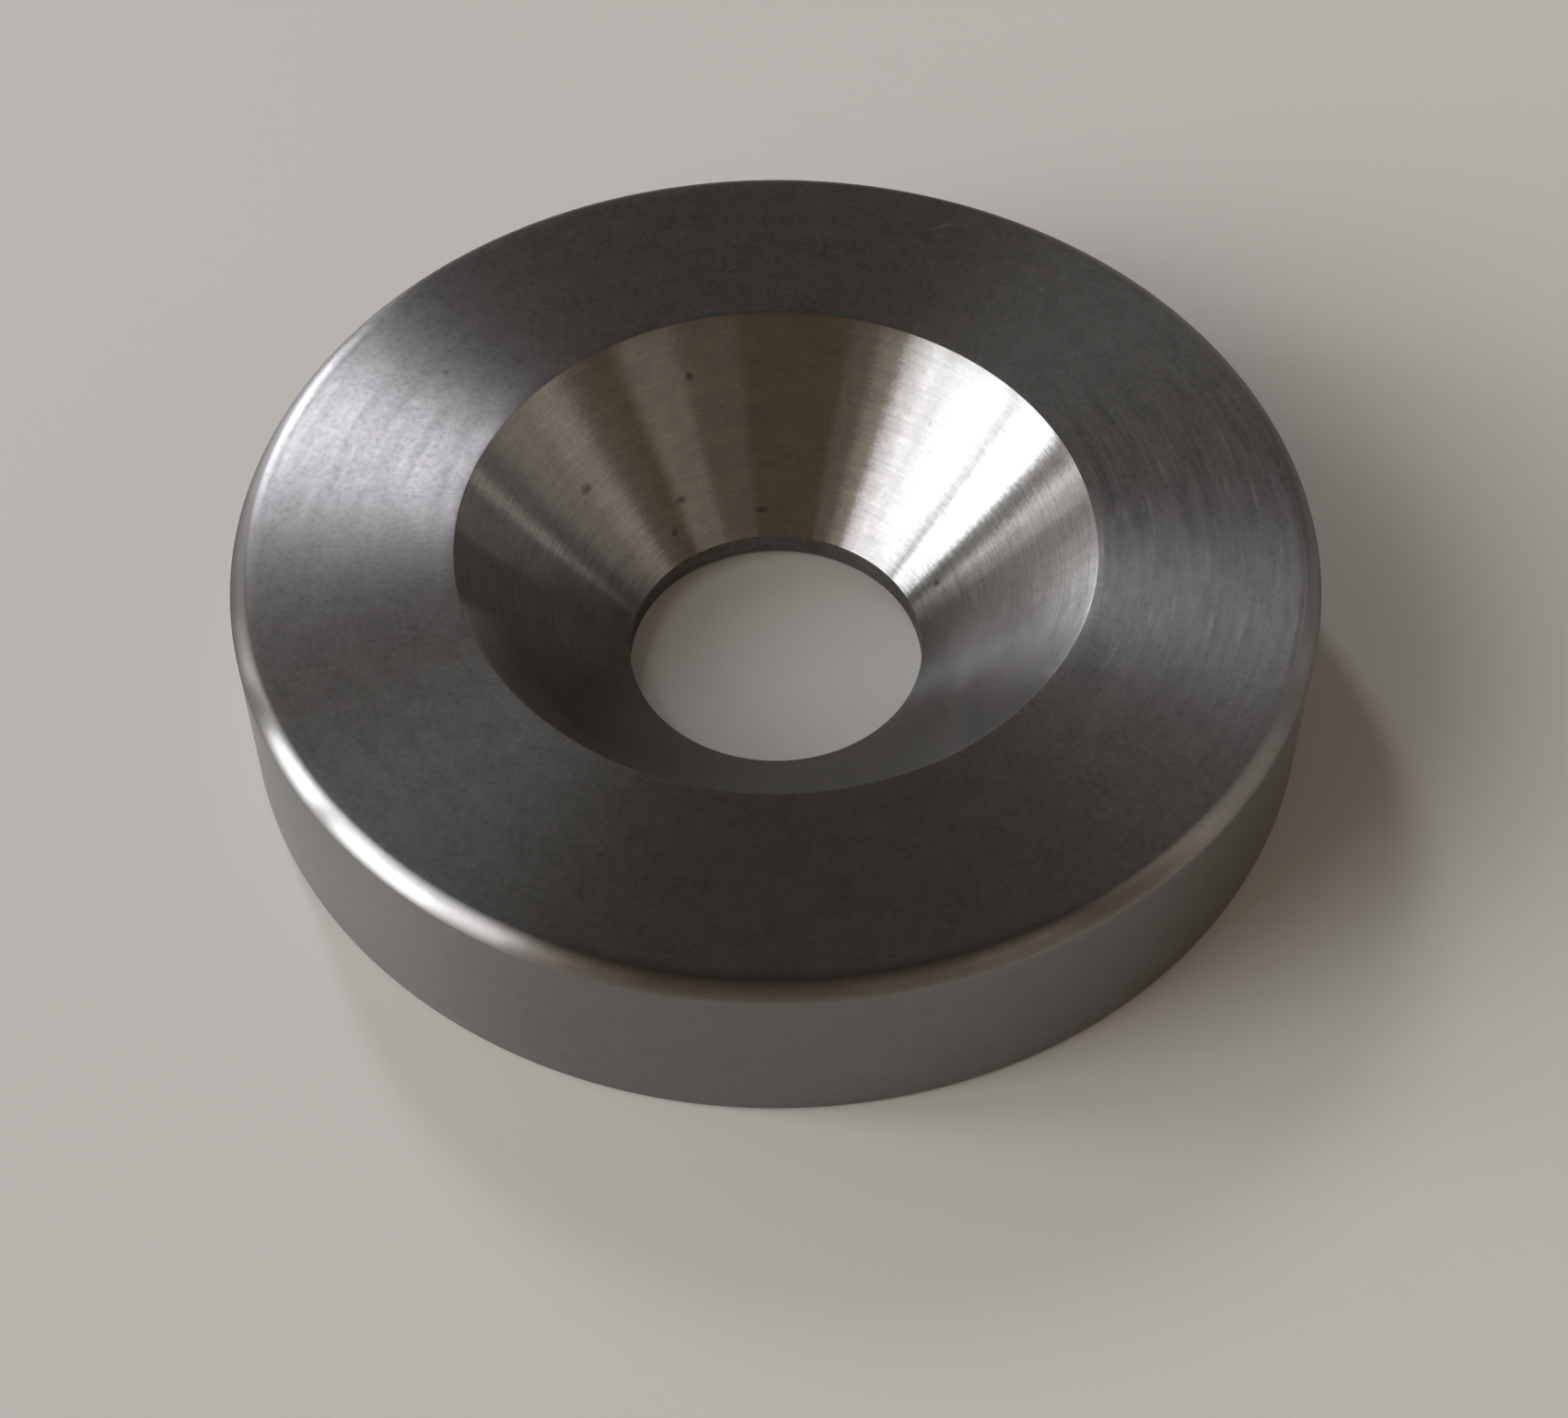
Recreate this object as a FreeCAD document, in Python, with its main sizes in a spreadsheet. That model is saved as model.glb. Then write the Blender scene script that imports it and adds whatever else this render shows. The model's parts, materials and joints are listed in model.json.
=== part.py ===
import FreeCAD, Part
import math
import os
import Sketcher

# Countersunk collar: one turned disc with a screw hole through its middle.
# It lies on its plain face. A 90 degree countersink opens upward and takes a flush
# M8 screw head, and a short cylindrical land is left below it for the shank.
#
# Frame: millimetres, +Z up along the axis of the bore.
# Origin: centre of the plain (bottom) face.

SIZES = (
    ("outer_diameter", 30.0, "diameter of the rim"),
    ("thickness", 5.4, "from the plain face to the countersunk face"),
    ("bore_diameter", 8.4, "fine clearance hole for an M8 screw"),
    ("countersink_diameter", 17.7, "mouth of the countersink"),
    ("countersink_angle", 90.0, "included angle of the countersink in degrees"),
    ("top_edge_radius", 0.5, "rounding of the rim's upper edge"),
    ("bottom_edge_break", 0.1, "chamfer of the rim's and the bore's lower edges"),
)

NODE = "collar"
AXIS = FreeCAD.Vector(0, 0, 1)
NEAR = 1e-6                 # two lengths closer than this are the same, mm
VOLUME_TOLERANCE = 1e-6     # share of the turned volume


def add_sheet(doc):
    """The driving dimensions, one row each: alias, value, meaning."""
    sheet = doc.addObject("Spreadsheet::Sheet", "Sizes")
    for row, (alias, value, meaning) in enumerate(SIZES, start=1):
        sheet.set(f"A{row}", alias)
        sheet.set(f"B{row}", str(value))
        sheet.set(f"C{row}", meaning)
        sheet.setAlias(f"B{row}", alias)
    doc.recompute()
    return sheet


def circle_sketch(body, name, support, size):
    """A sketch of one circle on the axis, whose diameter is the sheet's cell `size`."""
    sketch = body.newObject("Sketcher::SketchObject", name)
    sketch.AttachmentSupport = support
    sketch.MapMode = "FlatFace"
    circle = sketch.addGeometry(Part.Circle(FreeCAD.Vector(), AXIS, 1.0), False)
    sketch.addConstraint(Sketcher.Constraint("Coincident", circle, 3, -1, 1))
    diameter = sketch.addConstraint(Sketcher.Constraint("Diameter", circle, 2.0))
    sketch.renameConstraint(diameter, "diameter")
    sketch.setExpression("Constraints.diameter", f"Sizes.{size}")
    return sketch


def xy_plane(body):
    """The body's own horizontal origin plane."""
    return next(item for item in body.Origin.OriginFeatures if item.Role == "XY_Plane")


def top_face(feature):
    """The name of a feature's highest flat face."""
    heights = [face.CenterOfMass.z for face in feature.Shape.Faces]
    return f"Face{heights.index(max(heights)) + 1}"


def circular_edge(feature, radius, height):
    """The name of the circle of this radius about the axis at this height."""
    for number, edge in enumerate(feature.Shape.Edges, start=1):
        if not isinstance(edge.Curve, Part.Circle):
            continue
        same_radius = abs(edge.Curve.Radius - radius) < NEAR
        same_height = abs(edge.Curve.Center.z - height) < NEAR
        if same_radius and same_height:
            return f"Edge{number}"
    raise RuntimeError(f"{feature.Name} has no circle of radius {radius} at {height}")


def make_collar(doc, sheet):
    """The collar, in the order it is turned: blank, countersunk hole, edges."""
    body = doc.addObject("PartDesign::Body", "Collar")
    body.Label = NODE

    blank = body.newObject("PartDesign::Pad", "Blank")
    blank.Profile = circle_sketch(body, "RimCircle", (xy_plane(body), [""]), "outer_diameter")
    blank.setExpression("Length", "Sizes.thickness")
    doc.recompute()

    bore_circle = circle_sketch(
        body, "BoreCircle", (blank, [top_face(blank)]), "bore_diameter"
    )
    doc.recompute()
    hole = body.newObject("PartDesign::Hole", "CountersunkHole")
    hole.Profile = bore_circle
    doc.recompute()
    hole.DepthType = "ThroughAll"
    hole.setExpression("Diameter", "Sizes.bore_diameter")
    hole.HoleCutType = "Countersink"
    hole.setExpression("HoleCutDiameter", "Sizes.countersink_diameter")
    hole.setExpression("HoleCutCountersinkAngle", "Sizes.countersink_angle")
    doc.recompute()

    rim_radius = sheet.outer_diameter / 2
    bore_radius = sheet.bore_diameter / 2
    rounded = body.newObject("PartDesign::Fillet", "RimTopRounding")
    rounded.Base = (hole, [circular_edge(hole, rim_radius, sheet.thickness)])
    rounded.setExpression("Radius", "Sizes.top_edge_radius")
    doc.recompute()

    lower_edges = [
        circular_edge(rounded, rim_radius, 0),
        circular_edge(rounded, bore_radius, 0),
    ]
    broken = body.newObject("PartDesign::Chamfer", "PlainFaceEdgeBreaks")
    broken.Base = (rounded, lower_edges)
    broken.setExpression("Size", "Sizes.bottom_edge_break")
    body.Tip = broken
    doc.recompute()
    return body


def turned_volume(sheet):
    """The collar's volume by Pappus's rule, to compare with the solid's."""
    rim = sheet.outer_diameter / 2
    bore = sheet.bore_diameter / 2
    mouth = sheet.countersink_diameter / 2
    cone_depth = (mouth - bore) / math.tan(math.radians(sheet.countersink_angle / 2))
    land = sheet.thickness - cone_depth
    disc = math.pi * rim**2 * sheet.thickness
    cone = math.pi * cone_depth * (mouth**2 + mouth * bore + bore**2) / 3
    screw_way = math.pi * bore**2 * land

    rounding = sheet.top_edge_radius
    waste_area = rounding**2 * (1 - math.pi / 4)
    waste_inset = rounding * (10 - 3 * math.pi) / (12 - 3 * math.pi)
    rim_rounding = 2 * math.pi * (rim - waste_inset) * waste_area

    edge = sheet.bottom_edge_break
    rim_break = 2 * math.pi * (rim - edge / 3) * edge**2 / 2
    bore_break = 2 * math.pi * (bore + edge / 3) * edge**2 / 2
    return disc - cone - screw_way - rim_rounding - rim_break - bore_break


def check(doc, body, sheet):
    """Stops the build if anything failed, or if a cut took too much or too little."""
    failed = [item.Name for item in doc.Objects if set(item.State) & {"Invalid", "Error"}]
    if failed:
        raise RuntimeError(f"these objects did not compute: {failed}")
    shape = body.Shape
    if shape.isNull() or not shape.isValid() or len(shape.Solids) != 1:
        raise RuntimeError(f"{body.Label} is not one valid solid")
    expected = turned_volume(sheet)
    if abs(shape.Volume - expected) > VOLUME_TOLERANCE * expected:
        raise RuntimeError(f"volume is {shape.Volume:.4f} mm3, not {expected:.4f}")


def main():
    doc = FreeCAD.newDocument("CountersunkCollar")
    sheet = add_sheet(doc)
    body = make_collar(doc, sheet)
    check(doc, body, sheet)
    os.makedirs("parts", exist_ok=True)
    body.Shape.exportStep(f"parts/{body.Label}.step")
    print(f"{body.Label}: {body.Shape.Volume:.3f} mm3")


main()
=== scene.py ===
"""A countersunk collar of turned stainless steel, lying on a pale table top.

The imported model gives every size. The collar is spun again from the CAD node's own
section as a finer mesh, and each turned surface gets its own steel.
"""

import json
import math

import bmesh
import bpy
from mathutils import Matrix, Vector


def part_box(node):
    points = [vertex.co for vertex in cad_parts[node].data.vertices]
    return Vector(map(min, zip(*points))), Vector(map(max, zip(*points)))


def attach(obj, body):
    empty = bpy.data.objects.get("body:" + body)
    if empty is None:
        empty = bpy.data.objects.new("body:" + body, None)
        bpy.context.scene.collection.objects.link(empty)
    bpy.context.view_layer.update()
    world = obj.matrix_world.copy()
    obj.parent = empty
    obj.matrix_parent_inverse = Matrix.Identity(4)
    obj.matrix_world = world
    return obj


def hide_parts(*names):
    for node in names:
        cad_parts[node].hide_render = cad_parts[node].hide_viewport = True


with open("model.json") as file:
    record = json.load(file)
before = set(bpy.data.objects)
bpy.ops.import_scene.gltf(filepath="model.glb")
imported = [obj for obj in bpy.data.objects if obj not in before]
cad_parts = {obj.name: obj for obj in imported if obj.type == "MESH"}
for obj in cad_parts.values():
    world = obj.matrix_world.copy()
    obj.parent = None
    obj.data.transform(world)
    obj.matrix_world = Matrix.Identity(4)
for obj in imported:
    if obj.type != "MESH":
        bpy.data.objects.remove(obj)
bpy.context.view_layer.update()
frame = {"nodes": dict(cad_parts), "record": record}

MM = 0.001
NODE = "collar"

SEGMENTS = 720              # facets round the axis
MOUTH_BREAK = 0.03 * MM     # the mouth's edge is only just off sharp
WEAR = 1.5                  # the rim's upper edge: 2 is a true arc, 1 is a chamfer

STEEL = (0.27, 0.26, 0.25)  # linear colour of the metal
STAIN_SIZE = 0.7 * MM
TABLE_TOP = (0.645, 0.625, 0.58, 1)

FRONT_WALL = (0.213, 0.162, 0.113, 1)
BACK_WALL = (0.138, 0.130, 0.120, 1)
CEILING = (0.03, 0.027, 0.023, 1)
PALE_WALL = (0.55, 0.54, 0.52, 1)
FIRST_AZIMUTH = 45.0        # the panels' azimuths run from here for 360 degrees

# Colours of the panels of light.
DAYLIGHT = (0.93, 0.96, 1.0)
COOL = (0.89, 0.90, 1.0)
NEUTRAL = (1.0, 0.98, 0.96)
WARM = (1.0, 0.92, 0.82)


# ---------------------------------------------------------------- section

def ring_radii(node, height):
    """Smallest and largest radius of a CAD node's vertices at one height."""
    near = 0.002 * MM
    vertices = frame["nodes"][node].data.vertices
    radii = [v.co.xy.length for v in vertices if abs(v.co.z - height) < near]
    return min(radii), max(radii)


low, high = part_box(NODE)
TOP = high.z
RIM = high.x
MOUTH, FACE_EDGE = ring_radii(NODE, TOP)
BOTTOM_HOLE, BOTTOM_EDGE = ring_radii(NODE, low.z)
BORE = next(m["dims"]["r_mm"] * MM for m in frame["record"]["mounts"] if m["name"] == "bore")
ROUNDING = RIM - FACE_EDGE
EDGE_BREAK = RIM - BOTTOM_EDGE
LAND = TOP - (MOUTH - BORE)         # the cone falls at 45 degrees to the land


def straight(start, end, steps):
    """Points from start to end, the start left out."""
    return [start.lerp(end, i / steps) for i in range(1, steps + 1)]


def arc(centre, radius, start, end, steps):
    """Points round an arc from one angle to another, the start left out."""
    angles = [start + (end - start) * i / steps for i in range(1, steps + 1)]
    return [centre + radius * Vector((math.cos(a), math.sin(a))) for a in angles]


def worn_arc(corner, radius, steps):
    """Points over the rim's upper edge, the start left out: an arc flattened midway by wear."""
    points = []
    for i in range(1, steps + 1):
        angle = math.pi / 2 * i / steps
        out, up = math.sin(angle), math.cos(angle)
        reach = (out**WEAR + up**WEAR) ** (-1 / WEAR)
        points.append(corner + radius * reach * Vector((out, up)))
    return points


def section():
    """The collar's half section as zones, each a name and its points (radius, height).

    It runs up the land and the cone, out over the face, down the rim and back under
    the plain face. Each zone starts at the last point of the one before.
    """
    tangent = MOUTH_BREAK * math.tan(math.radians(45 / 2))      # the break turns by 45 degrees
    slope = Vector((1, 1)).normalized()
    mouth = Vector((MOUTH, TOP))
    cone_end = mouth - tangent * slope
    mouth_centre = Vector((MOUTH + tangent, TOP - MOUTH_BREAK))
    rim_centre = Vector((RIM - ROUNDING, TOP - ROUNDING))
    return [
        ("land", straight(Vector((BORE, EDGE_BREAK)), Vector((BORE, LAND)), 4)),
        ("cone", straight(Vector((BORE, LAND)), cone_end, 24)),
        ("mouth", arc(mouth_centre, MOUTH_BREAK, 3 * math.pi / 4, math.pi / 2, 4)),
        ("face", straight(Vector((MOUTH + tangent, TOP)), Vector((FACE_EDGE, TOP)), 24)),
        ("edge", worn_arc(rim_centre, ROUNDING, 20)),
        ("rim", straight(Vector((RIM, TOP - ROUNDING)), Vector((RIM, EDGE_BREAK)), 12)),
        ("rim_break", straight(Vector((RIM, EDGE_BREAK)), Vector((BOTTOM_EDGE, 0)), 2)),
        ("plain", straight(Vector((BOTTOM_EDGE, 0)), Vector((BOTTOM_HOLE, 0)), 12)),
        ("bore_break", straight(Vector((BOTTOM_HOLE, 0)), Vector((BORE, EDGE_BREAK)), 2)),
    ]


SHARP_AFTER = ("land", "rim", "rim_break", "plain", "bore_break")
STEEL_OF = {
    "land": "bored",
    "cone": "coned",
    "mouth": "edged",
    "face": "faced",
    "edge": "edged",
    "rim": "skimmed",
    "rim_break": "edged",
    "plain": "faced",
    "bore_break": "edged",
}


def spin_collar(steels):
    """The section turned about the axis, with the distance along it kept for the marks."""
    zones = section()
    slots = list(steels)
    points = [point for _, run in zones for point in run]
    walked = 0.0
    along = []
    for i, point in enumerate(points):
        walked += (point - points[i - 1]).length if i else 0.0
        along.append(walked)

    bm = bmesh.new()
    run_layer = bm.verts.layers.float.new("along_mm")
    rings = []
    for point, distance in zip(points, along):
        ring = []
        for k in range(SEGMENTS):
            angle = 2 * math.pi * k / SEGMENTS
            vertex = bm.verts.new((point.x * math.cos(angle), point.x * math.sin(angle), point.y))
            vertex[run_layer] = distance / MM
            ring.append(vertex)
        rings.append(ring)

    row = 0
    for name, run in zones:
        for _ in run:
            here, last = rings[row], rings[row - 1]
            for k in range(SEGMENTS):
                n = (k + 1) % SEGMENTS
                face = bm.faces.new((last[k], last[n], here[n], here[k]))
                face.smooth = True
                face.material_index = slots.index(STEEL_OF[name])
            row += 1
        if name in SHARP_AFTER:
            ring = rings[row - 1]
            for k in range(SEGMENTS):
                bm.edges.get((ring[k], ring[(k + 1) % SEGMENTS])).smooth = False
    bmesh.ops.recalc_face_normals(bm, faces=bm.faces)

    mesh = bpy.data.meshes.new("turned_collar")
    bm.to_mesh(mesh)
    bm.free()
    for steel in steels.values():
        mesh.materials.append(steel)
    piece = bpy.data.objects.new("turned_collar", mesh)
    bpy.context.scene.collection.objects.link(piece)
    return piece


# ---------------------------------------------------------------- materials

class Nodes:
    """A short way to write the node tree of a new material or world."""

    def __init__(self, owner, output):
        owner.use_nodes = True
        self.owner = owner
        self.tree = owner.node_tree
        self.shader = self.tree.nodes[output]

    def add(self, kind, inputs=None, **settings):
        node = self.tree.nodes.new("ShaderNode" + kind)
        for key, value in settings.items():
            setattr(node, key, value)
        for key, value in (inputs or {}).items():
            self.put(node.inputs[key], value)
        return node

    def put(self, socket, value):
        """Links the socket to the value, or sets it if the value is a constant."""
        if isinstance(value, bpy.types.NodeSocket):
            self.tree.links.new(value, socket)
        else:
            socket.default_value = value

    def math(self, operation, a, b=0.0, c=0.0):
        node = self.add("Math", operation=operation)
        for socket, value in zip(node.inputs, (a, b, c)):
            self.put(socket, value)
        return node.outputs[0]

    def vector(self, operation, a, b=None, scale=None):
        node = self.add("VectorMath", operation=operation)
        self.put(node.inputs[0], a)
        if b is not None:
            self.put(node.inputs[1], b)
        if scale is not None:
            self.put(node.inputs["Scale"], scale)
        return node.outputs[0]

    def mix(self, share, a, b):
        """Colour a where share is 0 and b where it is 1."""
        node = self.add("Mix", data_type="RGBA")
        self.put(node.inputs[0], share)
        self.put(node.inputs[6], a)
        self.put(node.inputs[7], b)
        return node.outputs[2]

    def ramp(self, value, start, end):
        """0 up to start, 1 from end on."""
        limits = {"From Min": start, "From Max": end}
        return self.add("MapRange", {"Value": value, **limits}).outputs[0]

    def noise(self, vector, detail=0.0, roughness=0.5):
        """Smooth noise about zero, mostly within 0.25 either way."""
        inputs = {"Vector": vector, "Scale": 1.0, "Detail": detail, "Roughness": roughness}
        return self.math("SUBTRACT", self.add("TexNoise", inputs).outputs[0], 0.5)


class Lathe:
    """Directions and distances on a turned surface, for its marks.

    x and y point from the axis to the surface, and run is the distance along the section
    in mm. round is the direction of the tool marks, and feed is the direction across them.
    """

    def __init__(self, n):
        self.n = n
        self.place = n.add("TexCoord").outputs["Object"]
        x, y, _ = n.add("SeparateXYZ", {0: self.place}).outputs
        radius = n.math("SQRT", n.math("ADD", n.math("MULTIPLY", x, x), n.math("MULTIPLY", y, y)))
        self.x, self.y = n.math("DIVIDE", x, radius), n.math("DIVIDE", y, radius)
        self.run = n.add("Attribute", attribute_name="along_mm").outputs["Fac"]
        minus_y = n.math("MULTIPLY", self.y, -1.0)
        self.round = n.add("CombineXYZ", {0: minus_y, 1: self.x, 2: 0.0}).outputs[0]
        self.normal = n.add("NewGeometry").outputs["Normal"]
        self.feed = n.vector("CROSS_PRODUCT", self.round, self.normal)

    def cells(self, per_radian, per_mm, shift=0.0):
        """Noise coordinates with so many cells per radian round and per mm of feed."""
        n = self.n
        run = n.math("MULTIPLY_ADD", self.run, per_mm, shift)
        x, y = (n.math("MULTIPLY", value, per_radian) for value in (self.x, self.y))
        return n.add("CombineXYZ", {0: x, 1: y, 2: run}).outputs[0]

    def tilted(self, along, around):
        """The surface normal, tilted by these slopes along the feed and around the axis."""
        n = self.n
        leaning = n.vector("ADD", self.normal, n.vector("SCALE", self.feed, scale=along))
        leaning = n.vector("ADD", leaning, n.vector("SCALE", self.round, scale=around))
        return n.vector("NORMALIZE", leaning)


class Flaw:
    """A small mark on the surface: a speck, or a scratch if it is longer than wide."""

    def __init__(self, place, width, tone, length=None, heading=0.0):
        self.place = place
        self.width = width
        self.tone = tone
        self.stretch = 1 - width / (length or width)
        self.axis = Vector((math.cos(math.radians(heading)), math.sin(math.radians(heading)), 0))

    def shade(self, n, point):
        """The flaw's factor on the colour: its tone in the middle, fading to 1 outside."""
        away = n.vector("SUBTRACT", point, self.place)
        if self.stretch:
            reach = n.add("VectorMath", {0: away, 1: self.axis}, operation="DOT_PRODUCT")
            short = n.math("MULTIPLY", reach.outputs["Value"], self.stretch)
            away = n.vector("SUBTRACT", away, n.vector("SCALE", self.axis, scale=short))
        distance = n.add("VectorMath", {0: away}, operation="LENGTH").outputs["Value"]
        limits = {"From Min": 0.25 * self.width, "From Max": self.width, "To Min": self.tone}
        return n.add("MapRange", {"Value": distance, **limits}).outputs[0]


def on_cone(angle, share):
    """A place on the cone: angle from +X, and share of the way from mouth to land."""
    depth = share * (TOP - LAND)
    a = math.radians(angle)
    return Vector(((MOUTH - depth) * math.cos(a), (MOUTH - depth) * math.sin(a), TOP - depth))


def on_face(angle, share):
    """A place on the face: angle from +X, and share of the way from rim to mouth."""
    radius = FACE_EDGE + share * (MOUTH - FACE_EDGE)
    a = math.radians(angle)
    return Vector((radius * math.cos(a), radius * math.sin(a), TOP))


def turned_steel(name, roughness, anisotropy, feed, slopes, tones, graze=0.55, darkened=1.0,
                 right_sheen=0.0, flaws=()):
    """Stainless steel with lathe marks.

    feed is the distance between tool marks in mm. slopes and tones are each for the tool
    marks, the torn grain between them and something slower: chatter around the axis for
    slopes, staining for tones. graze is the share of the usual reflection left at a grazing
    angle, and darkened is the share left elsewhere, which darkens the steel's colour.
    right_sheen is how strongly the tool marks and scores show lighter towards +X: real
    scratches, with a painted sheen where the highlight falls. The noises have different
    shifts, so that no two follow each other.
    """
    n = Nodes(bpy.data.materials.new(name), "Principled BSDF")
    lathe = Lathe(n)
    n.put(n.shader.inputs["Metallic"], 1.0)
    n.put(n.shader.inputs["Specular Tint"], (graze, graze, graze, 1))
    n.put(n.shader.inputs["Roughness"], roughness)
    n.put(n.shader.inputs["Anisotropic"], anisotropy)
    n.put(n.shader.inputs["Anisotropic Rotation"], 0.25)     # so highlights spread across the marks
    tangent = n.add("Tangent", direction_type="RADIAL", axis="Z")
    n.put(n.shader.inputs["Tangent"], tangent.outputs[0])

    marks = n.noise(lathe.cells(3.0, 1.0 / feed), detail=3.0, roughness=0.65)
    torn = n.noise(lathe.cells(70.0, 6.0, shift=31.0), detail=2.0, roughness=0.6)
    wander = n.noise(lathe.cells(60.0, 16.0, shift=67.0), detail=1.0)
    place = n.vector("SCALE", lathe.place, scale=1 / STAIN_SIZE)
    cloud = n.noise(place, detail=4.0, roughness=0.75)
    scores = n.ramp(n.noise(lathe.cells(6.0, 7.0, shift=11.0), detail=1.0), 0.10, 0.24)

    along = n.math("MULTIPLY", marks, slopes[0])
    along = n.math("MULTIPLY_ADD", torn, slopes[1], along)
    around = n.math("MULTIPLY", wander, slopes[2])
    n.put(n.shader.inputs["Normal"], lathe.tilted(along, around))

    shade = n.math("MULTIPLY_ADD", marks, tones[0], 1.0)
    shade = n.math("MULTIPLY_ADD", torn, tones[1], shade)
    shade = n.math("MULTIPLY_ADD", cloud, tones[2], shade)
    # painted sheen: tool marks and scores painted lighter towards +X, where the face's highlight
    # falls, over real scratches
    if right_sheen:
        sheen_side = n.math("MULTIPLY", n.ramp(lathe.x, 0.75, 0.97), right_sheen)
        sheen_streaks = n.math("MULTIPLY_ADD", scores, 0.35, marks)
        shade = n.math("MULTIPLY_ADD", sheen_streaks, sheen_side, shade)
    for flaw in flaws:
        shade = n.math("MULTIPLY", shade, flaw.shade(n, lathe.place))
    n.put(n.shader.inputs["Base Color"], n.vector("SCALE", [darkened * c for c in STEEL], scale=shade))
    return n.owner


def table_top():
    n = Nodes(bpy.data.materials.new("table_top"), "Principled BSDF")
    n.put(n.shader.inputs["Base Color"], TABLE_TOP)
    n.put(n.shader.inputs["Roughness"], 0.5)
    n.put(n.shader.inputs["Specular IOR Level"], 0.15)
    return n.owner


# ---------------------------------------------------------------- scene

def add_floor():
    bpy.ops.mesh.primitive_plane_add(size=1.6, location=(0, 0, 0))
    floor = bpy.context.object
    floor.name = "floor"
    floor.data.materials.append(table_top())
    return floor


def add_room(panels):
    """A dim room with soft lights all round. The camera sees a pale wall.

    Each panel is a light: azimuths from +X towards +Y and elevations above the table, both
    in degrees, then its radiance and its colour. Panels that overlap add up.
    """
    world = bpy.data.worlds.new("room")
    bpy.context.scene.world = world
    n = Nodes(world, "Background")
    x, y, z = n.add("SeparateXYZ", {0: n.add("TexCoord").outputs["Generated"]}).outputs
    azimuth = n.math("DEGREES", n.math("ARCTAN2", y, x))
    azimuth = n.math("WRAP", azimuth, FIRST_AZIMUTH + 360.0, FIRST_AZIMUTH)
    elevation = n.math("DEGREES", n.math("ARCSINE", z))
    # y is -1 in front and 1 behind, and z is the sine of the elevation.
    walls = n.mix(n.ramp(y, -0.3, 0.3), FRONT_WALL, BACK_WALL)
    light = n.mix(n.ramp(z, 0.80, 0.90), walls, CEILING)
    for (left, right), (low_edge, high_edge), radiance, colour in panels:
        across = n.math("COMPARE", azimuth, (left + right) / 2, (right - left) / 2)
        up = n.math("COMPARE", elevation, (low_edge + high_edge) / 2, (high_edge - low_edge) / 2)
        panel = n.add("VectorMath", {1: [radiance * c for c in colour]}, operation="MULTIPLY_ADD")
        n.put(panel.inputs[0], n.math("MULTIPLY", across, up))
        n.put(panel.inputs[2], light)
        light = panel.outputs[0]
    seen = n.mix(n.add("LightPath").outputs["Is Camera Ray"], light, PALE_WALL)
    n.put(n.shader.inputs["Color"], seen)


def add_camera():
    camera = bpy.data.cameras.new("camera")
    camera.sensor_width = 36.0
    camera.lens = 68.86
    camera.clip_start = 0.005
    camera.clip_end = 10.0
    eye = bpy.data.objects.new("camera", camera)
    place = Vector((0, -55.14, 67.01)) * MM
    aim = Vector((0.22, -1.76, 0.0)) * MM
    eye.location = place
    eye.rotation_euler = (place - aim).to_track_quat("Z", "Y").to_euler()
    bpy.context.scene.collection.objects.link(eye)
    bpy.context.scene.camera = eye


# ---------------------------------------------------------------- build

cone_flaws = [
    Flaw(on_cone(109, 0.24), 0.17 * MM, 0.45),
    Flaw(on_cone(145, 0.47), 0.18 * MM, 0.45, length=0.28 * MM, heading=60),
    Flaw(on_cone(20, 0.84), 0.15 * MM, 0.45),
    Flaw(on_cone(121, 0.75), 0.14 * MM, 0.45, length=0.22 * MM, heading=30),
    Flaw(on_cone(128, 0.87), 0.14 * MM, 0.5),
    Flaw(on_cone(95, 0.88), 0.13 * MM, 0.5, length=0.26 * MM, heading=0),
    Flaw(on_cone(52, 0.33), 0.08 * MM, 0.7),
]
face_flaws = [
    Flaw(on_face(68, 0.18), 0.06 * MM, 1.7, length=0.5 * MM, heading=20),
    Flaw(on_face(51, 0.35), 0.05 * MM, 1.5, length=0.2 * MM, heading=120),
    Flaw(on_face(97, 0.66), 0.05 * MM, 1.5, length=0.35 * MM, heading=35),
    Flaw(on_face(87, 0.86), 0.06 * MM, 1.4),
    Flaw(on_face(122, 0.83), 0.05 * MM, 1.4, length=0.2 * MM, heading=70),
    Flaw(on_face(146, 0.54), 0.12 * MM, 0.6),
]
steels = {
    "faced": turned_steel(
        "faced_steel",
        roughness=0.276,
        anisotropy=0.90,
        feed=0.28,
        slopes=(0.10, 0.04, 0.0),
        tones=(0.1, 0.55, 0.55),
        # painted sheen towards +X, over real scratches
        right_sheen=0.9,
        flaws=face_flaws,
    ),
    "coned": turned_steel(
        "coned_steel",
        roughness=0.205,
        anisotropy=1.0,
        feed=0.08,
        slopes=(0.06, 0.03, 0.03),
        tones=(0.6, 0.35, 0.5),
        graze=0.54,
        flaws=cone_flaws,
    ),
    "skimmed": turned_steel(
        "skimmed_steel",
        roughness=0.28,
        anisotropy=0.85,
        feed=0.2,
        slopes=(0.05, 0.03, 0.0),
        tones=(0.12, 0.08, 0.25),
        graze=1.0,
        # rim's colour darkened: partly a duller finish, partly painted shade of the dim table it
        # reflects
        darkened=0.85,
    ),
    "edged": turned_steel(
        "edged_steel",
        roughness=0.281,
        anisotropy=1.0,
        feed=0.10,
        slopes=(0.05, 0.05, 0.0),
        tones=(0.15, 0.2, 0.1),
    ),
    "bored": turned_steel(
        "bored_steel",
        roughness=0.35,
        anisotropy=0.7,
        feed=0.12,
        slopes=(0.3, 0.4, 0.0),
        tones=(1.0, 1.0, 0.6),
        # the land's colour is darker than the rest of the steel
        darkened=0.75,
    ),
}
collar = spin_collar(steels)
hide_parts(NODE)
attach(collar, "root")

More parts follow.
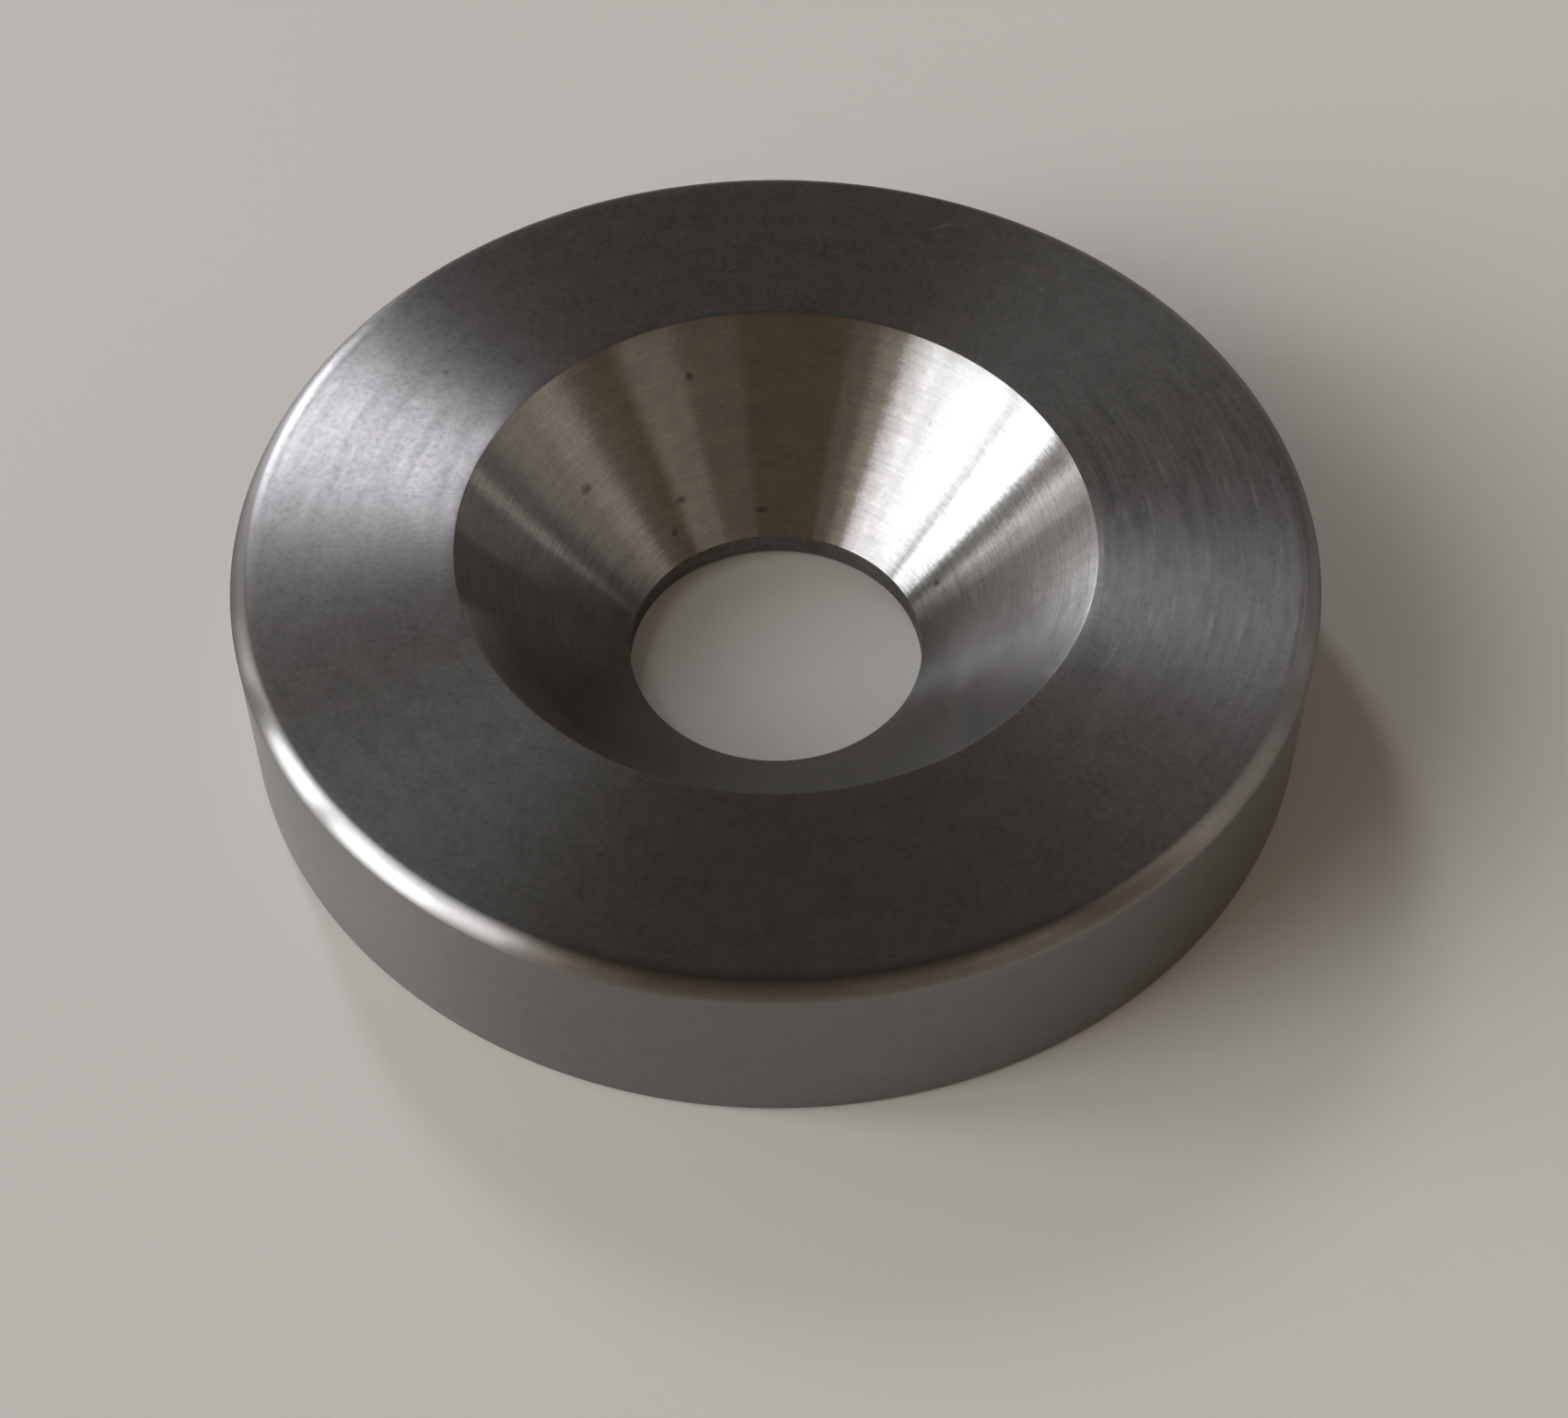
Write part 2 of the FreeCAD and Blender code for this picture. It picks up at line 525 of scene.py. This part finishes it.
add_floor()
add_room([
    ((168, 182), (3, 24), 10.5, DAYLIGHT),              # window, far pane
    ((168, 182), (24, 38), 5.5, DAYLIGHT),
    ((168, 182), (38, 52), 4.0, DAYLIGHT),
    ((168, 182), (52, 64), 1.2, DAYLIGHT),
    ((182, 186), (3, 52), 0.3, DAYLIGHT),               # the bar between the panes
    ((186, 208), (3, 24), 10.5, DAYLIGHT),              # window, near pane
    ((186, 208), (24, 38), 4.6, DAYLIGHT),
    ((186, 208), (38, 52), 1.2, DAYLIGHT),
    ((186, 208), (52, 64), 0.5, DAYLIGHT),
    ((208, 213), (5, 44), 5.5, DAYLIGHT),
    ((213, 222), (5, 44), 3.5, DAYLIGHT),
    ((222, 232), (12, 45), 0.7, WARM),
    ((232, 243), (12, 45), 0.2, WARM),
    ((110.3, 116.7), (28, 42), 26.5, COOL),             # second window, behind
    ((85, 111), (0.5, 13), 0.6, DAYLIGHT),
    ((111, 129), (0.5, 9), 3.6, DAYLIGHT),              # low light below that window
    ((129, 133), (0.5, 9), 2.3, DAYLIGHT),              # its light fades to the left
    ((133, 137), (0.5, 9), 1.4, DAYLIGHT),
    ((137, 142), (0.5, 9), 0.7, DAYLIGHT),
    ((56, 85), (0.5, 5), 0.9, WARM),
    ((128, 149), (0, 40), 0.62, NEUTRAL),               # wall and curtain on the left
    ((149, 155), (0, 40), 1.4, NEUTRAL),
    ((155, 159), (0, 40), 2.5, NEUTRAL),
    ((159, 164), (0, 40), 0.1, NEUTRAL),
    ((164, 168), (0, 24), 0.9, DAYLIGHT),
    ((164, 168), (24, 44), 1.6, DAYLIGHT),
    ((283, 306), (25, 45), 0.12, WARM),                 # furniture in front on the right
    ((306, 327), (25, 45), 0.36, WARM),
    ((348, 360), (12, 60), 0.50, WARM),                 # wall on the right
    ((360, 375), (8, 60), 0.34, WARM),
    ((375, 400), (0, 60), 0.15, WARM),
    ((383.3, 386.7), (8, 24), 0.60, WARM),
    ((340, 372), (0.5, 8), 0.45, WARM),
])
add_camera()
bpy.context.scene.view_settings.view_transform = "Standard"
